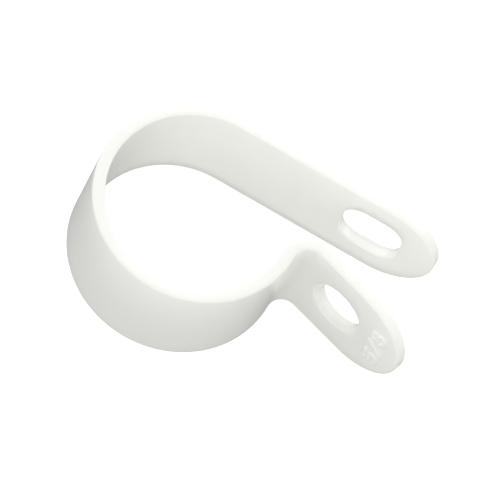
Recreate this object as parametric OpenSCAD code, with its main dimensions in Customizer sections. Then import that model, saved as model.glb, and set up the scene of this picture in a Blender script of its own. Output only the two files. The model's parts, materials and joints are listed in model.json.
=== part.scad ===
// One-piece P-shaped cable clamp, moulded as a single flat band with rounded edges.
// The band runs straight along the tail, round the loop, back through a small reverse
// bend and out along a short tab. Closing the tab onto the tail shuts the loop round a
// bundle, and one screw through the tab's hole and the tail's opening holds it to a panel.
//
// Frame: the origin is on the loop's axis at the middle of the band's width. +Z runs along
// that axis, so the clamp lies on the band's edge. +X runs along the tail to its tip, and
// +Y points out of the tail's outer face, which goes against the panel.

/* [Band] */
// Width of the band, along the loop's axis
band_w = 10.5; // [8:0.5:14]
// Thickness of the band
band_t = 1.1; // [0.8:0.05:1.6]
// Rounding of the band's long edges
edge_r = 0.25; // [0.1:0.05:0.35]

/* [Loop] */
// Inside diameter of the loop, which takes the bundle
bore_d = 15.9; // [12:0.1:26]
// Angle at which the loop ends, above the level of its axis
loop_end = 0; // [-15:1:20]

/* [Tail] */
// Distance from the loop's axis to the middle of the tail's opening
opening_reach = 13.4; // [12:0.1:20]
// Distance from the middle of the tail's opening to the tail's tip
opening_to_tip = 6; // [5:0.1:9]
// Width of the tail's square opening, which leaves the screw room to find the tab's hole
opening_w = 5.4; // [4:0.1:6]
// Rounding of the opening's corners
opening_corner_r = 1.8; // [0.5:0.1:1.9]

/* [Tab] */
// Radius of the reverse bend on its hollow side
bend_r = 1.4; // [0.8:0.1:3]
// Angle by which the open tab falls away from the tail's direction
tab_splay = 17; // [0:1:30]
// Distance from the end of the reverse bend to the middle of the tab's hole
tab_hole_reach = 3.4; // [3:0.1:8]
// Distance from the middle of the tab's hole to the tab's tip
tab_hole_to_tip = 7; // [5.5:0.1:10]
// Diameter of the tab's hole, which clears the screw
tab_hole_d = 4.4; // [3:0.1:6]
// Lead-in round the tab's hole on the outer face, where the screw goes in
tab_lead_in = 0.4; // [0.1:0.05:0.5]

/* [Edges] */
// Edge break where the hole and the opening come out of the band's faces
hole_break = 0.1; // [0.05:0.05:0.3]

/* [Hidden] */

// Facets of the large turns and of the small edge rounds
$fn = 120;
edge_fn = 24;

// The rounding takes at most this share of the band's thickness
edge_share = 0.4;
edge_round = min(edge_r, edge_share * band_t);
// Length by which a cut runs past the faces that it opens
overrun = 0.5;
// Factor between full size and the scale at which the runs are joined
join_scale = 100;

loop_r = bore_d / 2;
half_w = band_w / 2;
mid_t = band_t / 2;
// The loop starts square to the tail and ends where the reverse bend takes over
quarter_turn = 90;
loop_sweep = 3 * quarter_turn + loop_end;
// The bend's centre lies outside the loop, one bend radius off the loop's outer face
bend_offset = loop_r + band_t + bend_r;
bend_sweep = quarter_turn + loop_end + tab_splay;
// Straight runs, up to the centres of the half-round ends
tail_straight = opening_reach + opening_to_tip - half_w;
tab_straight = tab_hole_reach + tab_hole_to_tip - half_w;

// Cross-section of the band: thickness along X, width along Y, with all four edges rounded
module band_section() {
    square([band_t - 2 * edge_round, band_w], center = true);
    square([band_t, band_w - 2 * edge_round], center = true);
    for (x = [-1, 1], y = [-1, 1])
        translate([x * (mid_t - edge_round), y * (half_w - edge_round)])
            circle(r = edge_round, $fn = edge_fn);
}

// Band bent round the Z axis from angle 0, with its inner face at radius r
module bent_band(r, sweep) {
    rotate_extrude(angle = sweep)
        translate([r + mid_t, 0])
            band_section();
}

// Straight band along X, lying on the plane Y = 0, with a half-round end past its length
module straight_band(length) {
    translate([0, mid_t, 0]) {
        rotate([90, 0, 90])
            linear_extrude(length)
                band_section();
        translate([length, 0, 0])
            rotate([-90, 0, 0])
                rotate([0, 0, -90])
                    rotate_extrude(angle = 180)
                        half_section();
    }
}

// Outer half of the cross-section, turned so that the band's width lies along X
module half_section() {
    intersection() {
        rotate(90)
            band_section();
        translate([0, -band_t])
            square([band_w, 2 * band_t]);
    }
}

// Half outline of a cut along Y: straight through the band, then flared at both faces. The
// flare on the face at -Y is as deep as the lead-in.
function cut_outline(half, lead_in = hole_break) = [
    [0, -mid_t - overrun],
    [half + lead_in + overrun, -mid_t - overrun],
    [half, lead_in - mid_t],
    [half, mid_t - hole_break],
    [half + hole_break + overrun, mid_t + overrun],
    [0, mid_t + overrun]
];

// Cut for a round hole along Y, with its middle at the origin
module round_cut(d, lead_in = hole_break) {
    rotate([-90, 0, 0])
        rotate_extrude()
            polygon(cut_outline(d / 2, lead_in));
}

// Cut for a square opening along Y with round corners: a round cut at each corner, and two crossed runs
module square_cut(width, corner_r) {
    run = width - 2 * corner_r;
    for (x = [-1, 1], z = [-1, 1])
        translate([x * run / 2, 0, z * run / 2])
            round_cut(2 * corner_r);
    for (turn = [0, quarter_turn])
        rotate([0, turn, 0])
            linear_extrude(run, center = true)
                for (side = [0, 1])
                    mirror([side, 0])
                        polygon(cut_outline(width / 2));
}

// Straight run of band, less a cut at the given distance from its start
module cut_band(length, cut_x) {
    difference() {
        straight_band(length);
        translate([cut_x, mid_t, 0])
            children();
    }
}

// Long tail, tangent to the top of the loop
module tail() {
    translate([0, loop_r, 0])
        cut_band(tail_straight, opening_reach)
            square_cut(opening_w, opening_corner_r);
}

// Loop, from the tail round to the reverse bend
module loop() {
    rotate([0, 0, quarter_turn])
        bent_band(loop_r, loop_sweep);
}

// Frame of the tab: origin at the reverse bend's centre, X along the tab towards its tip
module tab_frame() {
    rotate([0, 0, loop_end])
        translate([bend_offset, 0, 0])
            rotate([0, 0, -loop_end - tab_splay])
                children();
}

// Reverse bend, from the end of the loop to the tab
module bend() {
    tab_frame()
        rotate([0, 0, quarter_turn])
            bent_band(bend_r, bend_sweep);
}

// Short tab, tangent to the end of the bend
module tab() {
    tab_frame()
        translate([0, bend_r, 0])
            cut_band(tab_straight, tab_hole_reach)
                round_cut(tab_hole_d, tab_lead_in);
}

// Union of runs that meet face to face. It is made at a small scale and brought back to full
// size, so that the rounding of turned runs stays far below the distance at which faces join.
module joined() {
    scale(join_scale)
        for (i = [0 : $children - 1])
            scale(1 / join_scale)
                children(i);
}

module clamp_body() {
    color("#eef0e6")
        joined() {
            tail();
            loop();
            bend();
            tab();
        }
}

clamp_body();
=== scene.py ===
import json
import math

import bmesh
import bpy
import numpy as np
from mathutils import Matrix, Vector


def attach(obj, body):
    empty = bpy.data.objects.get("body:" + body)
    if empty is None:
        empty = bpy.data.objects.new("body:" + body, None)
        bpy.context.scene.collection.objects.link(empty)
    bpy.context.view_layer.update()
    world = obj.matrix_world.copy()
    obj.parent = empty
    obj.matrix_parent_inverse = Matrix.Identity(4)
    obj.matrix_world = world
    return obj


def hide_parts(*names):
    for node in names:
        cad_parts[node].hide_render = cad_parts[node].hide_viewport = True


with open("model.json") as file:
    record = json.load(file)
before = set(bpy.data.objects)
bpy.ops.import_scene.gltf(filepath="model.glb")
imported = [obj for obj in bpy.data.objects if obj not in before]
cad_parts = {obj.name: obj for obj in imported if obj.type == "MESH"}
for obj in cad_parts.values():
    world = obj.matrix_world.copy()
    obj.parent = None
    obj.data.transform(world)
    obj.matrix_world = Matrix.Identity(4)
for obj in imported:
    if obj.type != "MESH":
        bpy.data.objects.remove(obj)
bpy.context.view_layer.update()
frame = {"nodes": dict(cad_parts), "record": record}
mounts = {mount["name"]: mount for mount in frame["record"]["mounts"]}
mm = 0.001
joinGap = 2e-8  # points closer than this are one point
hair = 1e-9  # below any real size
print("frame loaded:", sorted(frame["nodes"]))

# Sizes that the frame gives
loopR = mounts["bundle_loop"]["dims"]["r_mm"] * mm  # inside of the loop
outerR = mounts["panel_face"]["pos_m"][1]  # the tail's outer face is level with the loop's outside
halfT = (outerR - loopR) / 2
halfW = -mounts["rest_edge"]["pos_m"][2]
midR = loopR + halfT  # radius of the band's middle line
tabOut = np.array(mounts["tab_hole"]["axis"])  # out of the tab's outer face
tabAlong = np.array([-tabOut[1], tabOut[0], 0.0])  # along the tab, to its tip
tabHoleR = mounts["tab_hole"]["dims"]["r_mm"] * mm
tabLeadIn = 0.4 * mm  # round the hole on the tab's outer face
holeLip = 0.1 * mm  # round every other edge of a cut
# The hole's mount is the middle of its straight part; the tab's middle plane lies further out
tabHole = np.array(mounts["tab_hole"]["pos_m"]) + tabOut * (tabLeadIn - holeLip) / 2
opening = np.array(mounts["tail_opening"]["pos_m"])
# The bend's radius follows from the tab's middle line being tangent to it
bendR = -(tabOut[0] * (tabHole[0] - outerR) + tabOut[1] * tabHole[1] + halfT) / (1 - tabOut[0])
bendCentre = np.array([outerR + bendR, 0.0, 0.0])
bendMid = bendR + halfT
acrossBand = np.array([0.0, 0.0, 1.0])
tailAlong = np.array([1.0, 0.0, 0.0])
tailOut = np.array([0.0, 1.0, 0.0])

# Camera: far off with a long lens, turned as the photograph is
camera = {
    "right": (0.86767, 0.44683, 0.21792),
    "down": (0.49695, -0.76784, -0.40429),
    "target": (5.5069 * mm, 0.9714 * mm, 0.3294 * mm),
    "distance": 1.5,
    "frameWidth": 41.349 * mm,  # width of the picture at the target
    "sensor": 36.0,
    "clipShare": 4.0,  # far limit of the view, in camera distances
}


# Camera whose axes are the photograph's right, up and backward directions
def makeCamera(spec):
    right = Vector(spec["right"]).normalized()
    back = right.cross(-Vector(spec["down"])).normalized()
    up = back.cross(right)
    turn = Matrix((right, up, back)).transposed()
    data = bpy.data.cameras.new("camera")
    data.sensor_width = spec["sensor"]
    data.lens = spec["sensor"] * spec["distance"] / spec["frameWidth"]
    data.clip_end = spec["distance"] * spec["clipShare"]
    made = bpy.data.objects.new("camera", data)
    stand = Vector(spec["target"]) + back * spec["distance"]
    made.matrix_world = Matrix.Translation(stand) @ turn.to_4x4()
    bpy.context.scene.collection.objects.link(made)
    bpy.context.scene.camera = made


makeCamera(camera)
bpy.context.scene.view_settings.view_transform = "Standard"
print("camera set")


# Faces of a grid of points: each cell joins a point to its right, upper right and upper neighbours;
# a closed direction joins its last row or column to its first
def gridFaces(rows, columns, closeRows=False, closeColumns=False):
    index = np.arange(rows * columns).reshape(rows, columns)
    if closeRows:
        index = np.vstack([index, index[:1]])
    if closeColumns:
        index = np.hstack([index, index[:, :1]])
    corners = [index[:-1, :-1], index[:-1, 1:], index[1:, 1:], index[1:, :-1]]
    return np.stack([corner.ravel() for corner in corners], -1)


# One closed mesh from several grids of points, joined where their edges meet
def meshFromGrids(name, grids):
    points, faces, start = [], [], 0
    for grid, closeRows, closeColumns in grids:
        points.append(grid.reshape(-1, 3))
        faces.append(start + gridFaces(*grid.shape[:2], closeRows, closeColumns))
        start += grid.shape[0] * grid.shape[1]
    points, faces = np.vstack(points), np.vstack(faces)
    mesh = bpy.data.meshes.new(name)
    mesh.vertices.add(len(points))
    mesh.vertices.foreach_set("co", points.ravel())
    mesh.loops.add(faces.size)
    mesh.loops.foreach_set("vertex_index", faces.ravel())
    mesh.polygons.add(len(faces))
    mesh.polygons.foreach_set("loop_start", np.arange(0, faces.size, faces.shape[1]))
    mesh.update(calc_edges=True)
    work = bmesh.new()
    work.from_mesh(mesh)
    bmesh.ops.remove_doubles(work, verts=work.verts, dist=joinGap)
    bmesh.ops.dissolve_degenerate(work, edges=work.edges, dist=hair)
    bmesh.ops.recalc_face_normals(work, faces=work.faces)
    work.to_mesh(mesh)
    openEdges = sum(not edge.is_manifold for edge in work.edges)
    work.free()
    mesh.shade_smooth()
    made = bpy.data.objects.new(name, mesh)
    bpy.context.scene.collection.objects.link(made)
    print(name, "faces", len(mesh.polygons), "open edges", openEdges)
    return made


# Band of the clamp
band = {
    "edgeRound": 0.25 * mm,
    "openingWidth": 5.4 * mm,
    "openingCorner": 1.8 * mm,
    "wallReach": 1.01,  # how far the opening's wall counts, in half thicknesses
    "openingToTip": 6.0 * mm,
    "openingToCut": 4.6 * mm,  # from the opening's middle back to where its own patch starts
    "tabHoleToTip": 7.0 * mm,
    "easeShare": 1 / 8,  # of a lead-in's width, eased into the face
    "widthSteps": 14,
    "roundSteps": 8,
    "sideSteps": 3,
    "boreSteps": 8,
    "loopSteps": 200,
    "bendSteps": 60,
    "tailSteps": 24,
    "outlineSteps": 30,
    "tailTipSteps": 72,
    "tabTipSteps": 220,  # close enough together for the raised number
    "tabRaySteps": 130,
    "raySteps": 36,
}


# Depth lost below a face at distance d inside an edge of rounding r: the gap between
# a quarter circle and its tangent, r - sqrt(r^2 - (r - d)^2), and nothing past r
def roundDrop(distance, r):
    inside = np.clip(r - distance, 0, r)
    return r - np.sqrt(r * r - inside * inside)


# Depth lost at distance d inside a lead-in of width w: w - d, eased into the face by a parabola
# over the ease share of w to each side of the corner
def slopeDrop(distance, w):
    x = w - distance
    ease = w * band["easeShare"]
    return np.where(x > ease, x, np.clip(x + ease, 0, 2 * ease) ** 2 / (4 * ease))


# Cross-section of the band: offsets across the width and through the thickness,
# going round the outer face, the far side, the inner face and the near side
def bandSection(spec):
    r = spec["edgeRound"]
    turn = np.linspace(0, math.pi / 2, spec["roundSteps"] + 1)
    flat = np.linspace(-1, 1, spec["widthSteps"] + 1)[1:-1] * (halfW - r)
    side = np.linspace(1, -1, spec["sideSteps"] + 1)[1:-1] * (halfT - r)
    cornerW, cornerT = halfW - r + r * np.sin(turn), halfT - r + r * np.cos(turn)
    width = np.concatenate([flat, cornerW, np.full(side.size, halfW), cornerW[::-1]])
    depth = np.concatenate([np.full(flat.size, halfT), cornerT, side, -cornerT[::-1]])
    return np.concatenate([width, -width]), np.concatenate([depth, -depth])


# Middle line of the band and its outward normal: straight along the tail, round the loop,
# and back round the reverse bend, whose hollow side carries on the loop's outside
def bandLine(spec):
    tailX = np.linspace(opening[0] - spec["openingToCut"], 0, spec["tailSteps"], endpoint=False)
    loopTurn = np.linspace(math.pi / 2, 2 * math.pi, spec["loopSteps"], endpoint=False)
    bendTurn = np.linspace(math.pi, math.atan2(-tabOut[1], -tabOut[0]), spec["bendSteps"])
    flat = np.zeros_like
    tail = np.stack([tailX, np.full_like(tailX, midR), flat(tailX)], -1)
    tailNormal = np.stack([flat(tailX), np.ones_like(tailX), flat(tailX)], -1)
    loopOut = np.stack([np.cos(loopTurn), np.sin(loopTurn), flat(loopTurn)], -1)
    bendIn = np.stack([np.cos(bendTurn), np.sin(bendTurn), flat(bendTurn)], -1)
    line = np.concatenate([tail, loopOut * midR, bendCentre + bendIn * bendMid])
    return line, np.concatenate([tailNormal, loopOut, -bendIn])


# Cross-section carried along the middle line
def sweptBand(spec):
    width, depth = bandSection(spec)
    line, out = bandLine(spec)
    return line[:, None] + out[:, None] * depth[:, None] + acrossBand * width[:, None]


# Distance along a ray from the middle of a square with round corners to its outline:
# to the flat side where the ray meets it, and otherwise to the corner's circle
def squareReach(ray, half, corner):
    bend = (half - corner) * np.sign(ray)
    toFlat = half / np.abs(ray).max(-1)
    onFlat = np.abs(ray * toFlat[:, None]).min(-1) <= half - corner
    along = (ray * bend).sum(-1)
    root = np.maximum(along ** 2 - (bend ** 2).sum(-1) + corner ** 2, 0)
    return np.where(onFlat, toFlat, along + np.sqrt(root))


# Distance of points outside that square with round corners from its outline
def squareDistance(point, half, corner):
    past = np.abs(point) - (half - corner)
    return np.linalg.norm(np.maximum(past, 0), axis=-1) + np.minimum(past.max(-1), 0) - corner


# End of the band with a cut through it, in its own plane: rays run from the cut's outline to the
# half-round outline of the end, and the faces drop at both; the outer face gains a relief
def bandEnd(spec, centre, along, out, half, corner, toTip, toCut, tipSteps, outerSteps, outerLip, relief):
    edge = spec["edgeRound"]
    tip = toTip - halfW
    width, depth = bandSection(spec)
    sideX = np.linspace(-toCut, tip, spec["outlineSteps"] + 1)[:-1]
    tipTurn = np.linspace(-math.pi / 2, math.pi / 2, tipSteps + 1)
    outline = np.concatenate([
        np.stack([sideX, np.full_like(sideX, -halfW)], -1),
        np.stack([tip + halfW * np.cos(tipTurn), halfW * np.sin(tipTurn)], -1),
        np.stack([sideX[::-1], np.full_like(sideX, halfW)], -1),
    ])
    onFace = np.sort(width[depth > halfT - edge + hair])[::-1]
    ring = np.concatenate([outline, np.stack([np.full_like(onFace, -toCut), onFace], -1)])
    ray = ring / np.linalg.norm(ring, axis=-1, keepdims=True)
    start = ray * squareReach(ray, half, corner)[:, None]

    # Plan and height of a face: steps along the rays that close up at both ends, and the half
    # thickness less the rounding at the outline and the lead-in at the cut
    def face(steps, lip):
        spread = (1 - np.cos(np.linspace(0, math.pi, steps + 1))) / 2
        plan = start + (ring - start) * spread[:, None, None]
        toEdge = halfW - np.hypot(np.maximum(plan[..., 0] - tip, 0), plan[..., 1])
        fromCut = squareDistance(plan, half, corner)
        height = halfT - roundDrop(np.maximum(toEdge, 0), edge) - slopeDrop(np.maximum(fromCut, 0), lip)
        return plan, height

    # The cut's middle plus the plan along and across the band and the level through it
    def place(flat, level):
        return centre + flat[..., :1] * along + flat[..., 1:] * acrossBand + level[..., None] * out

    outer, outerHeight = face(outerSteps, outerLip)
    inner, innerHeight = face(spec["raySteps"], holeLip)
    level = np.linspace(1, -1, spec["sideSteps"] + 1)[:, None]
    wall = place(np.broadcast_to(outline, (level.size, *outline.shape)),
                 level * np.full(len(outline), halfT - edge))
    boreLevel = np.linspace(halfT - outerLip, holeLip - halfT, spec["boreSteps"] + 1)[:, None]
    bore = place(np.broadcast_to(start, (boreLevel.size, *start.shape)), boreLevel * np.ones(len(start)))
    outerFace = place(outer, outerHeight + relief(outer))
    innerFace = place(inner, -innerHeight)
    return [(outerFace, False, True), (innerFace, False, True), (wall, False, False), (bore, False, True)]


# Raised size number near the tab's tip: a fraction in plain strokes
sizeMark = {
    "middle": 4.5 * mm,  # from the hole's middle towards the tip
    "height": 1.2 * mm,
    "digitWidth": 1.2 * mm,
    "pitch": 1.75 * mm,  # from one sign to the next across the band
    "shift": 0.1 * mm,
    "rise": 0.18 * mm,
    "top": 0.10 * mm,  # half width of a stroke's flat top
    "foot": 0.21 * mm,  # half width at the face
    "pathSteps": 48,
}


# Straight stroke between two points, both given as shares of the digit's width and height
def lineStroke(first, last):
    t = np.linspace(0, 1, sizeMark["pathSteps"])[:, None]
    return np.array(first) * (1 - t) + np.array(last) * t


# Arc stroke about a middle, with its radii and its first and last angle in degrees
def arcStroke(middle, radii, first, last):
    t = np.radians(np.linspace(first, last, sizeMark["pathSteps"]))
    return np.array(middle) + np.stack([radii[0] * np.cos(t), radii[1] * np.sin(t)], -1)


five = [lineStroke((-0.36, 0.5), (0.42, 0.5)), lineStroke((-0.36, 0.5), (-0.42, 0.06)),
        arcStroke((-0.06, -0.18), (0.5, 0.32), 140, -145)]
slash = [lineStroke((-0.4, -0.55), (0.4, 0.55))]
eight = [arcStroke((0, 0.27), (0.37, 0.235), -90, 270), arcStroke((0, -0.24), (0.45, 0.265), 90, 450)]


# Points of a sign's strokes in the tab's plane: the sign's right runs across the band and
# its top towards the hole
def placedStrokes(spec, strokes, place):
    flat = np.concatenate(strokes) * (spec["digitWidth"], spec["height"])
    return np.stack([spec["middle"] - flat[:, 1], flat[:, 0] + place * spec["pitch"] + spec["shift"]], -1)


numberPoints = np.concatenate([placedStrokes(sizeMark, five, -1), placedStrokes(sizeMark, slash, 0),
                               placedStrokes(sizeMark, eight, 1)])


# Share of the full height of the raised strokes: 1 on their tops and 0 off them, with a smooth
# slope between, by the distance to the nearest point of a stroke
def numberShare(spec, plan):
    flat = plan.reshape(-1, 2)
    gap = np.full(len(flat), spec["foot"])
    low = numberPoints.min(0) - spec["foot"]
    high = numberPoints.max(0) + spec["foot"]
    near = ((flat > low) & (flat < high)).all(-1)
    gap[near] = np.linalg.norm(flat[near][:, None] - numberPoints, axis=-1).min(-1)
    share = np.clip((spec["foot"] - gap) / (spec["foot"] - spec["top"]), 0, 1)
    return (share * share * (3 - 2 * share)).reshape(plan.shape[:-1])


# Height of the tail's relief: none
def tailRelief(plan):
    return np.zeros(plan.shape[:-1])


# Height of the tab's relief: the number's rise times its share
def tabRelief(plan):
    return sizeMark["rise"] * numberShare(sizeMark, plan)


tailEnd = bandEnd(band, opening, tailAlong, tailOut, band["openingWidth"] / 2, band["openingCorner"],
                  band["openingToTip"], band["openingToCut"], band["tailTipSteps"], band["raySteps"],
                  holeLip, tailRelief)
tabToCut = float((tabHole - bendCentre) @ tabAlong)
tabEnd = bandEnd(band, tabHole, tabAlong, tabOut, tabHoleR, tabHoleR,
                 band["tabHoleToTip"], tabToCut, band["tabTipSteps"], band["tabRaySteps"],
                 tabLeadIn, tabRelief)
clampBand = meshFromGrids("clampBand", [(sweptBand(band), False, True), *tailEnd, *tabEnd])
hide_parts("clamp_body")
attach(clampBand, "root")


# Places of a piece's vertices, one row each
def vertexSpots(piece):
    spots = np.empty(len(piece.data.vertices) * 3)
    piece.data.vertices.foreach_get("co", spots)
    return spots.reshape(-1, 3)


# The number's share at each vertex, on the tab's outer side alone
def numberAt(spots, spec):
    fromHole = spots - tabHole
    plan = np.stack([fromHole @ tabAlong, fromHole[:, 2]], -1)
    return numberShare(spec, plan) * (fromHole @ tabOut > halfT / 2)


# Place on the wall of the tail's opening at each vertex: 1 at the inner face, -1 at the outer face,
# straight in between, and 0 off the wall
# Its inner-face part gets a painted highlight and its outer-face part painted shade in the nylon's colour
def openingHighlightAndShadeAt(spots, spec):
    fromOpening = spots - opening
    gap = squareDistance(fromOpening[:, [0, 2]], spec["openingWidth"] / 2, spec["openingCorner"])
    through = -fromOpening[:, 1] / halfT
    onWall = (gap < holeLip / 2) & (np.abs(through) < spec["wallReach"])
    return np.where(onWall, np.clip(through, -1, 1), 0.0)


# One number for each vertex, kept for the material
def storeValues(piece, name, values):
    piece.data.attributes.new(name, "FLOAT", "POINT").data.foreach_set("value", values)
    print(name, "kept on", np.count_nonzero(values), "vertices")


bandSpots = vertexSpots(clampBand)
# The number's share, where the nylon's colour gets a painted highlight
storeValues(clampBand, "number", numberAt(bandSpots, sizeMark))
# The wall of the tail's opening, for the painted highlight and the painted shade
storeValues(clampBand, "openingSide", openingHighlightAndShadeAt(bandSpots, band))


# One output of a material's nodes; arithmetic on it adds Math nodes
class Wire:
    # A tree alone can add nodes; with a socket it stands for that output
    def __init__(self, tree, socket=None):
        self.tree = tree
        self.socket = socket

    # Any node: its settings first, then the values or wires of its sockets
    def add(self, kind, settings, sockets, output=0):
        made = self.tree.nodes.new(kind)
        for name, value in settings.items():
            setattr(made, name, value)
        for name, value in sockets.items():
            if isinstance(value, Wire):
                self.tree.links.new(value.socket, made.inputs[name])
            else:
                made.inputs[name].default_value = value
        return Wire(self.tree, made.outputs[output] if made.outputs else None)

    # One Math node on two values or wires
    def math(self, operation, first, second):
        return self.add("ShaderNodeMath", {"operation": operation}, {0: first, 1: second})

    # Sums, differences and products, also with a plain number on the left
    def __add__(self, other):
        return self.math("ADD", self, other)

    def __radd__(self, other):
        return self.math("ADD", other, self)

    def __sub__(self, other):
        return self.math("SUBTRACT", self, other)

    def __rsub__(self, other):
        return self.math("SUBTRACT", other, self)

    def __mul__(self, other):
        return self.math("MULTIPLY", self, other)

    def __rmul__(self, other):
        return self.math("MULTIPLY", other, self)


# Natural nylon: milky, satin, with a faint cloudiness and a fine moulded grain
nylon = {
    "pale": (0.85, 0.858, 0.825, 1),
    "deep": (0.80, 0.809, 0.770, 1),
    "crown": (0.97, 0.975, 0.94, 1),  # painted highlight on the raised number and the opening's front edge
    "crease": (0.42, 0.43, 0.37, 1),  # painted shade along the back edge of the tail's opening
    "cloudScale": 210.0,
    "cloudDetail": 2.0,
    "cloudShare": 0.7,  # of the colour's change; the mottle has the rest
    "mottleScale": 900.0,
    "mottleDetail": 3.0,
    "grainScale": 5200.0,
    "grainDetail": 2.0,
    "ior": 1.53,
    "roughness": 0.32,
    "roughSpread": 0.06,
    "grainHeight": 0.003 * mm,
    "grainStrength": 0.2,
    "scatter": 0.6,
    "scatterRadius": (1.0, 1.0, 0.95),
    "scatterScale": 10.0 * mm,
}


noiseMean = 0.5
mixUnder, mixPaint, mixResult = 6, 7, 2  # a colour Mix node's sockets, by number


# Colour from pale to deep by a coarse and a fine noise, then painted shade along the opening's back edge
# and a painted highlight on the number and the opening's front edge; the roughness follows the coarse noise
def makeNylon(spec, name):
    material = bpy.data.materials.new(name)
    material.use_nodes = True
    material.node_tree.nodes.clear()
    new = Wire(material.node_tree)
    place = new.add("ShaderNodeTexCoord", {}, {}, output="Object")

    # Noise over the piece's own coordinates
    def noise(kind):
        return new.add("ShaderNodeTexNoise", {}, {
            "Vector": place, "Scale": spec[kind + "Scale"], "Detail": spec[kind + "Detail"]})

    # Value that the piece keeps at each vertex
    def stored(attribute):
        return new.add("ShaderNodeAttribute", {"attribute_name": attribute}, {}, output="Fac")

    # One colour over another, by a factor from 0 to 1
    def painted(under, paint, factor):
        return new.add("ShaderNodeMix", {"data_type": "RGBA"},
                       {"Factor": factor, mixUnder: under, mixPaint: paint}, output=mixResult)

    cloud = noise("cloud")
    mottle = noise("mottle")
    grain = noise("grain")
    side = stored("openingSide")
    # Shares of the opening's wall under the painted highlight (front) and the painted shade (back)
    highlightFront = new.math("MAXIMUM", side, 0.0)
    back = new.math("MAXIMUM", 0 - side, 0.0)
    amount = cloud * spec["cloudShare"] + mottle * (1 - spec["cloudShare"])
    colour = painted(spec["pale"], spec["deep"], amount)
    # Painted shade along the back edge of the opening
    colour = painted(colour, spec["crease"], back)
    # Painted highlight on the raised number and on the front edge of the opening
    colour = painted(colour, spec["crown"], stored("number") + highlightFront * highlightFront)
    rough = spec["roughness"] + (cloud - noiseMean) * spec["roughSpread"]
    bump = new.add("ShaderNodeBump", {}, {
        "Strength": spec["grainStrength"], "Distance": spec["grainHeight"], "Height": grain})
    surface = new.add("ShaderNodeBsdfPrincipled", {"subsurface_method": "RANDOM_WALK"}, {
        "Base Color": colour, "Roughness": rough, "Normal": bump, "IOR": spec["ior"],
        "Subsurface Weight": spec["scatter"], "Subsurface Radius": spec["scatterRadius"],
        "Subsurface Scale": spec["scatterScale"],
    })
    new.add("ShaderNodeOutputMaterial", {}, {"Surface": surface})
    return material


bandNylon = makeNylon(nylon, "natural_nylon")
for piece in (clampBand, frame["nodes"]["clamp_body"]):
    piece.data.materials.clear()
    piece.data.materials.append(bandNylon)
print("nylon set")

# Studio: a pale floor under the clamp, even surroundings, and soft lights in front, above and behind
studio = {
    "floorHalf": 0.6,
    "floorColour": (0.92, 0.92, 0.92, 1),
    "floorRoughness": 0.9,
    "floorGlow": 0.50,  # a light table, so that only a trace of a shadow shows
    "around": (1.0, 1.005, 0.965, 1),
    "aroundStrength": 0.71,
    "lights": {
        "frontSoftbox": {"place": (0.02, -0.44, 0.26), "size": 0.30, "power": 0.27},
        "topSoftbox": {"place": (0.0, 0.0, 0.50), "size": 0.30, "power": 0.2},
        "leftSoftbox": {"place": (-0.42, -0.05, 0.30), "size": 0.30, "power": 0.53},
        "rightSoftbox": {"place": (0.45, -0.05, 0.28), "size": 0.30, "power": 0.115},
        "frontRightSoftbox": {"place": (0.36, -0.34, 0.22), "size": 0.30, "power": 0.285},
        "lowBackSoftbox": {"place": (0.0, 0.50, 0.08), "size": 0.30, "power": 1.09},
        "leftBackSoftbox": {"place": (-0.35, 0.33, 0.25), "size": 0.30, "power": 0.50},
        "rightBackSoftbox": {"place": (0.36, 0.35, 0.25), "size": 0.30, "power": 0.48},
    },
}


# Material with one shader, whose sockets are all set
def makePlain(name, sockets):
    material = bpy.data.materials.new(name)
    material.use_nodes = True
    material.node_tree.nodes.clear()
    new = Wire(material.node_tree)
    new.add("ShaderNodeOutputMaterial", {}, {"Surface": new.add("ShaderNodeBsdfPrincipled", {}, sockets)})
    return material


# Square floor at the band's lower edge, surroundings of one colour, and square softboxes that all
# face the origin
def makeStudio(spec):
    reach = np.array([[-1, -1], [1, -1], [1, 1], [-1, 1]]) * spec["floorHalf"]
    mesh = bpy.data.meshes.new("floor")
    mesh.from_pydata(np.column_stack([reach, np.full(len(reach), -halfW)]).tolist(), [], [(0, 1, 2, 3)])
    mesh.materials.append(makePlain("floor_paint", {
        "Base Color": spec["floorColour"], "Roughness": spec["floorRoughness"],
        "Emission Color": spec["floorColour"], "Emission Strength": spec["floorGlow"]}))
    floor = bpy.data.objects.new("floor", mesh)
    # The floor shows, but throws no light on the clamp
    floor.visible_diffuse = False
    floor.visible_glossy = False
    bpy.context.scene.collection.objects.link(floor)
    world = bpy.data.worlds.new("surroundings")
    bpy.context.scene.world = world
    world.cycles_visibility.glossy = False  # the gloss mirrors the softboxes alone
    world.use_nodes = True
    world.node_tree.nodes.clear()
    new = Wire(world.node_tree)
    sky = new.add("ShaderNodeBackground", {}, {"Color": spec["around"], "Strength": spec["aroundStrength"]})
    new.add("ShaderNodeOutputWorld", {}, {"Surface": sky})
    for name, lamp in spec["lights"].items():
        data = bpy.data.lights.new(name, "AREA")
        data.size = lamp["size"]
        data.energy = lamp["power"]
        light = bpy.data.objects.new(name, data)
        light.location = lamp["place"]
        light.rotation_euler = (-Vector(lamp["place"])).to_track_quat("-Z", "Y").to_euler()
        light.visible_camera = False
        bpy.context.scene.collection.objects.link(light)


makeStudio(studio)
print("studio set")
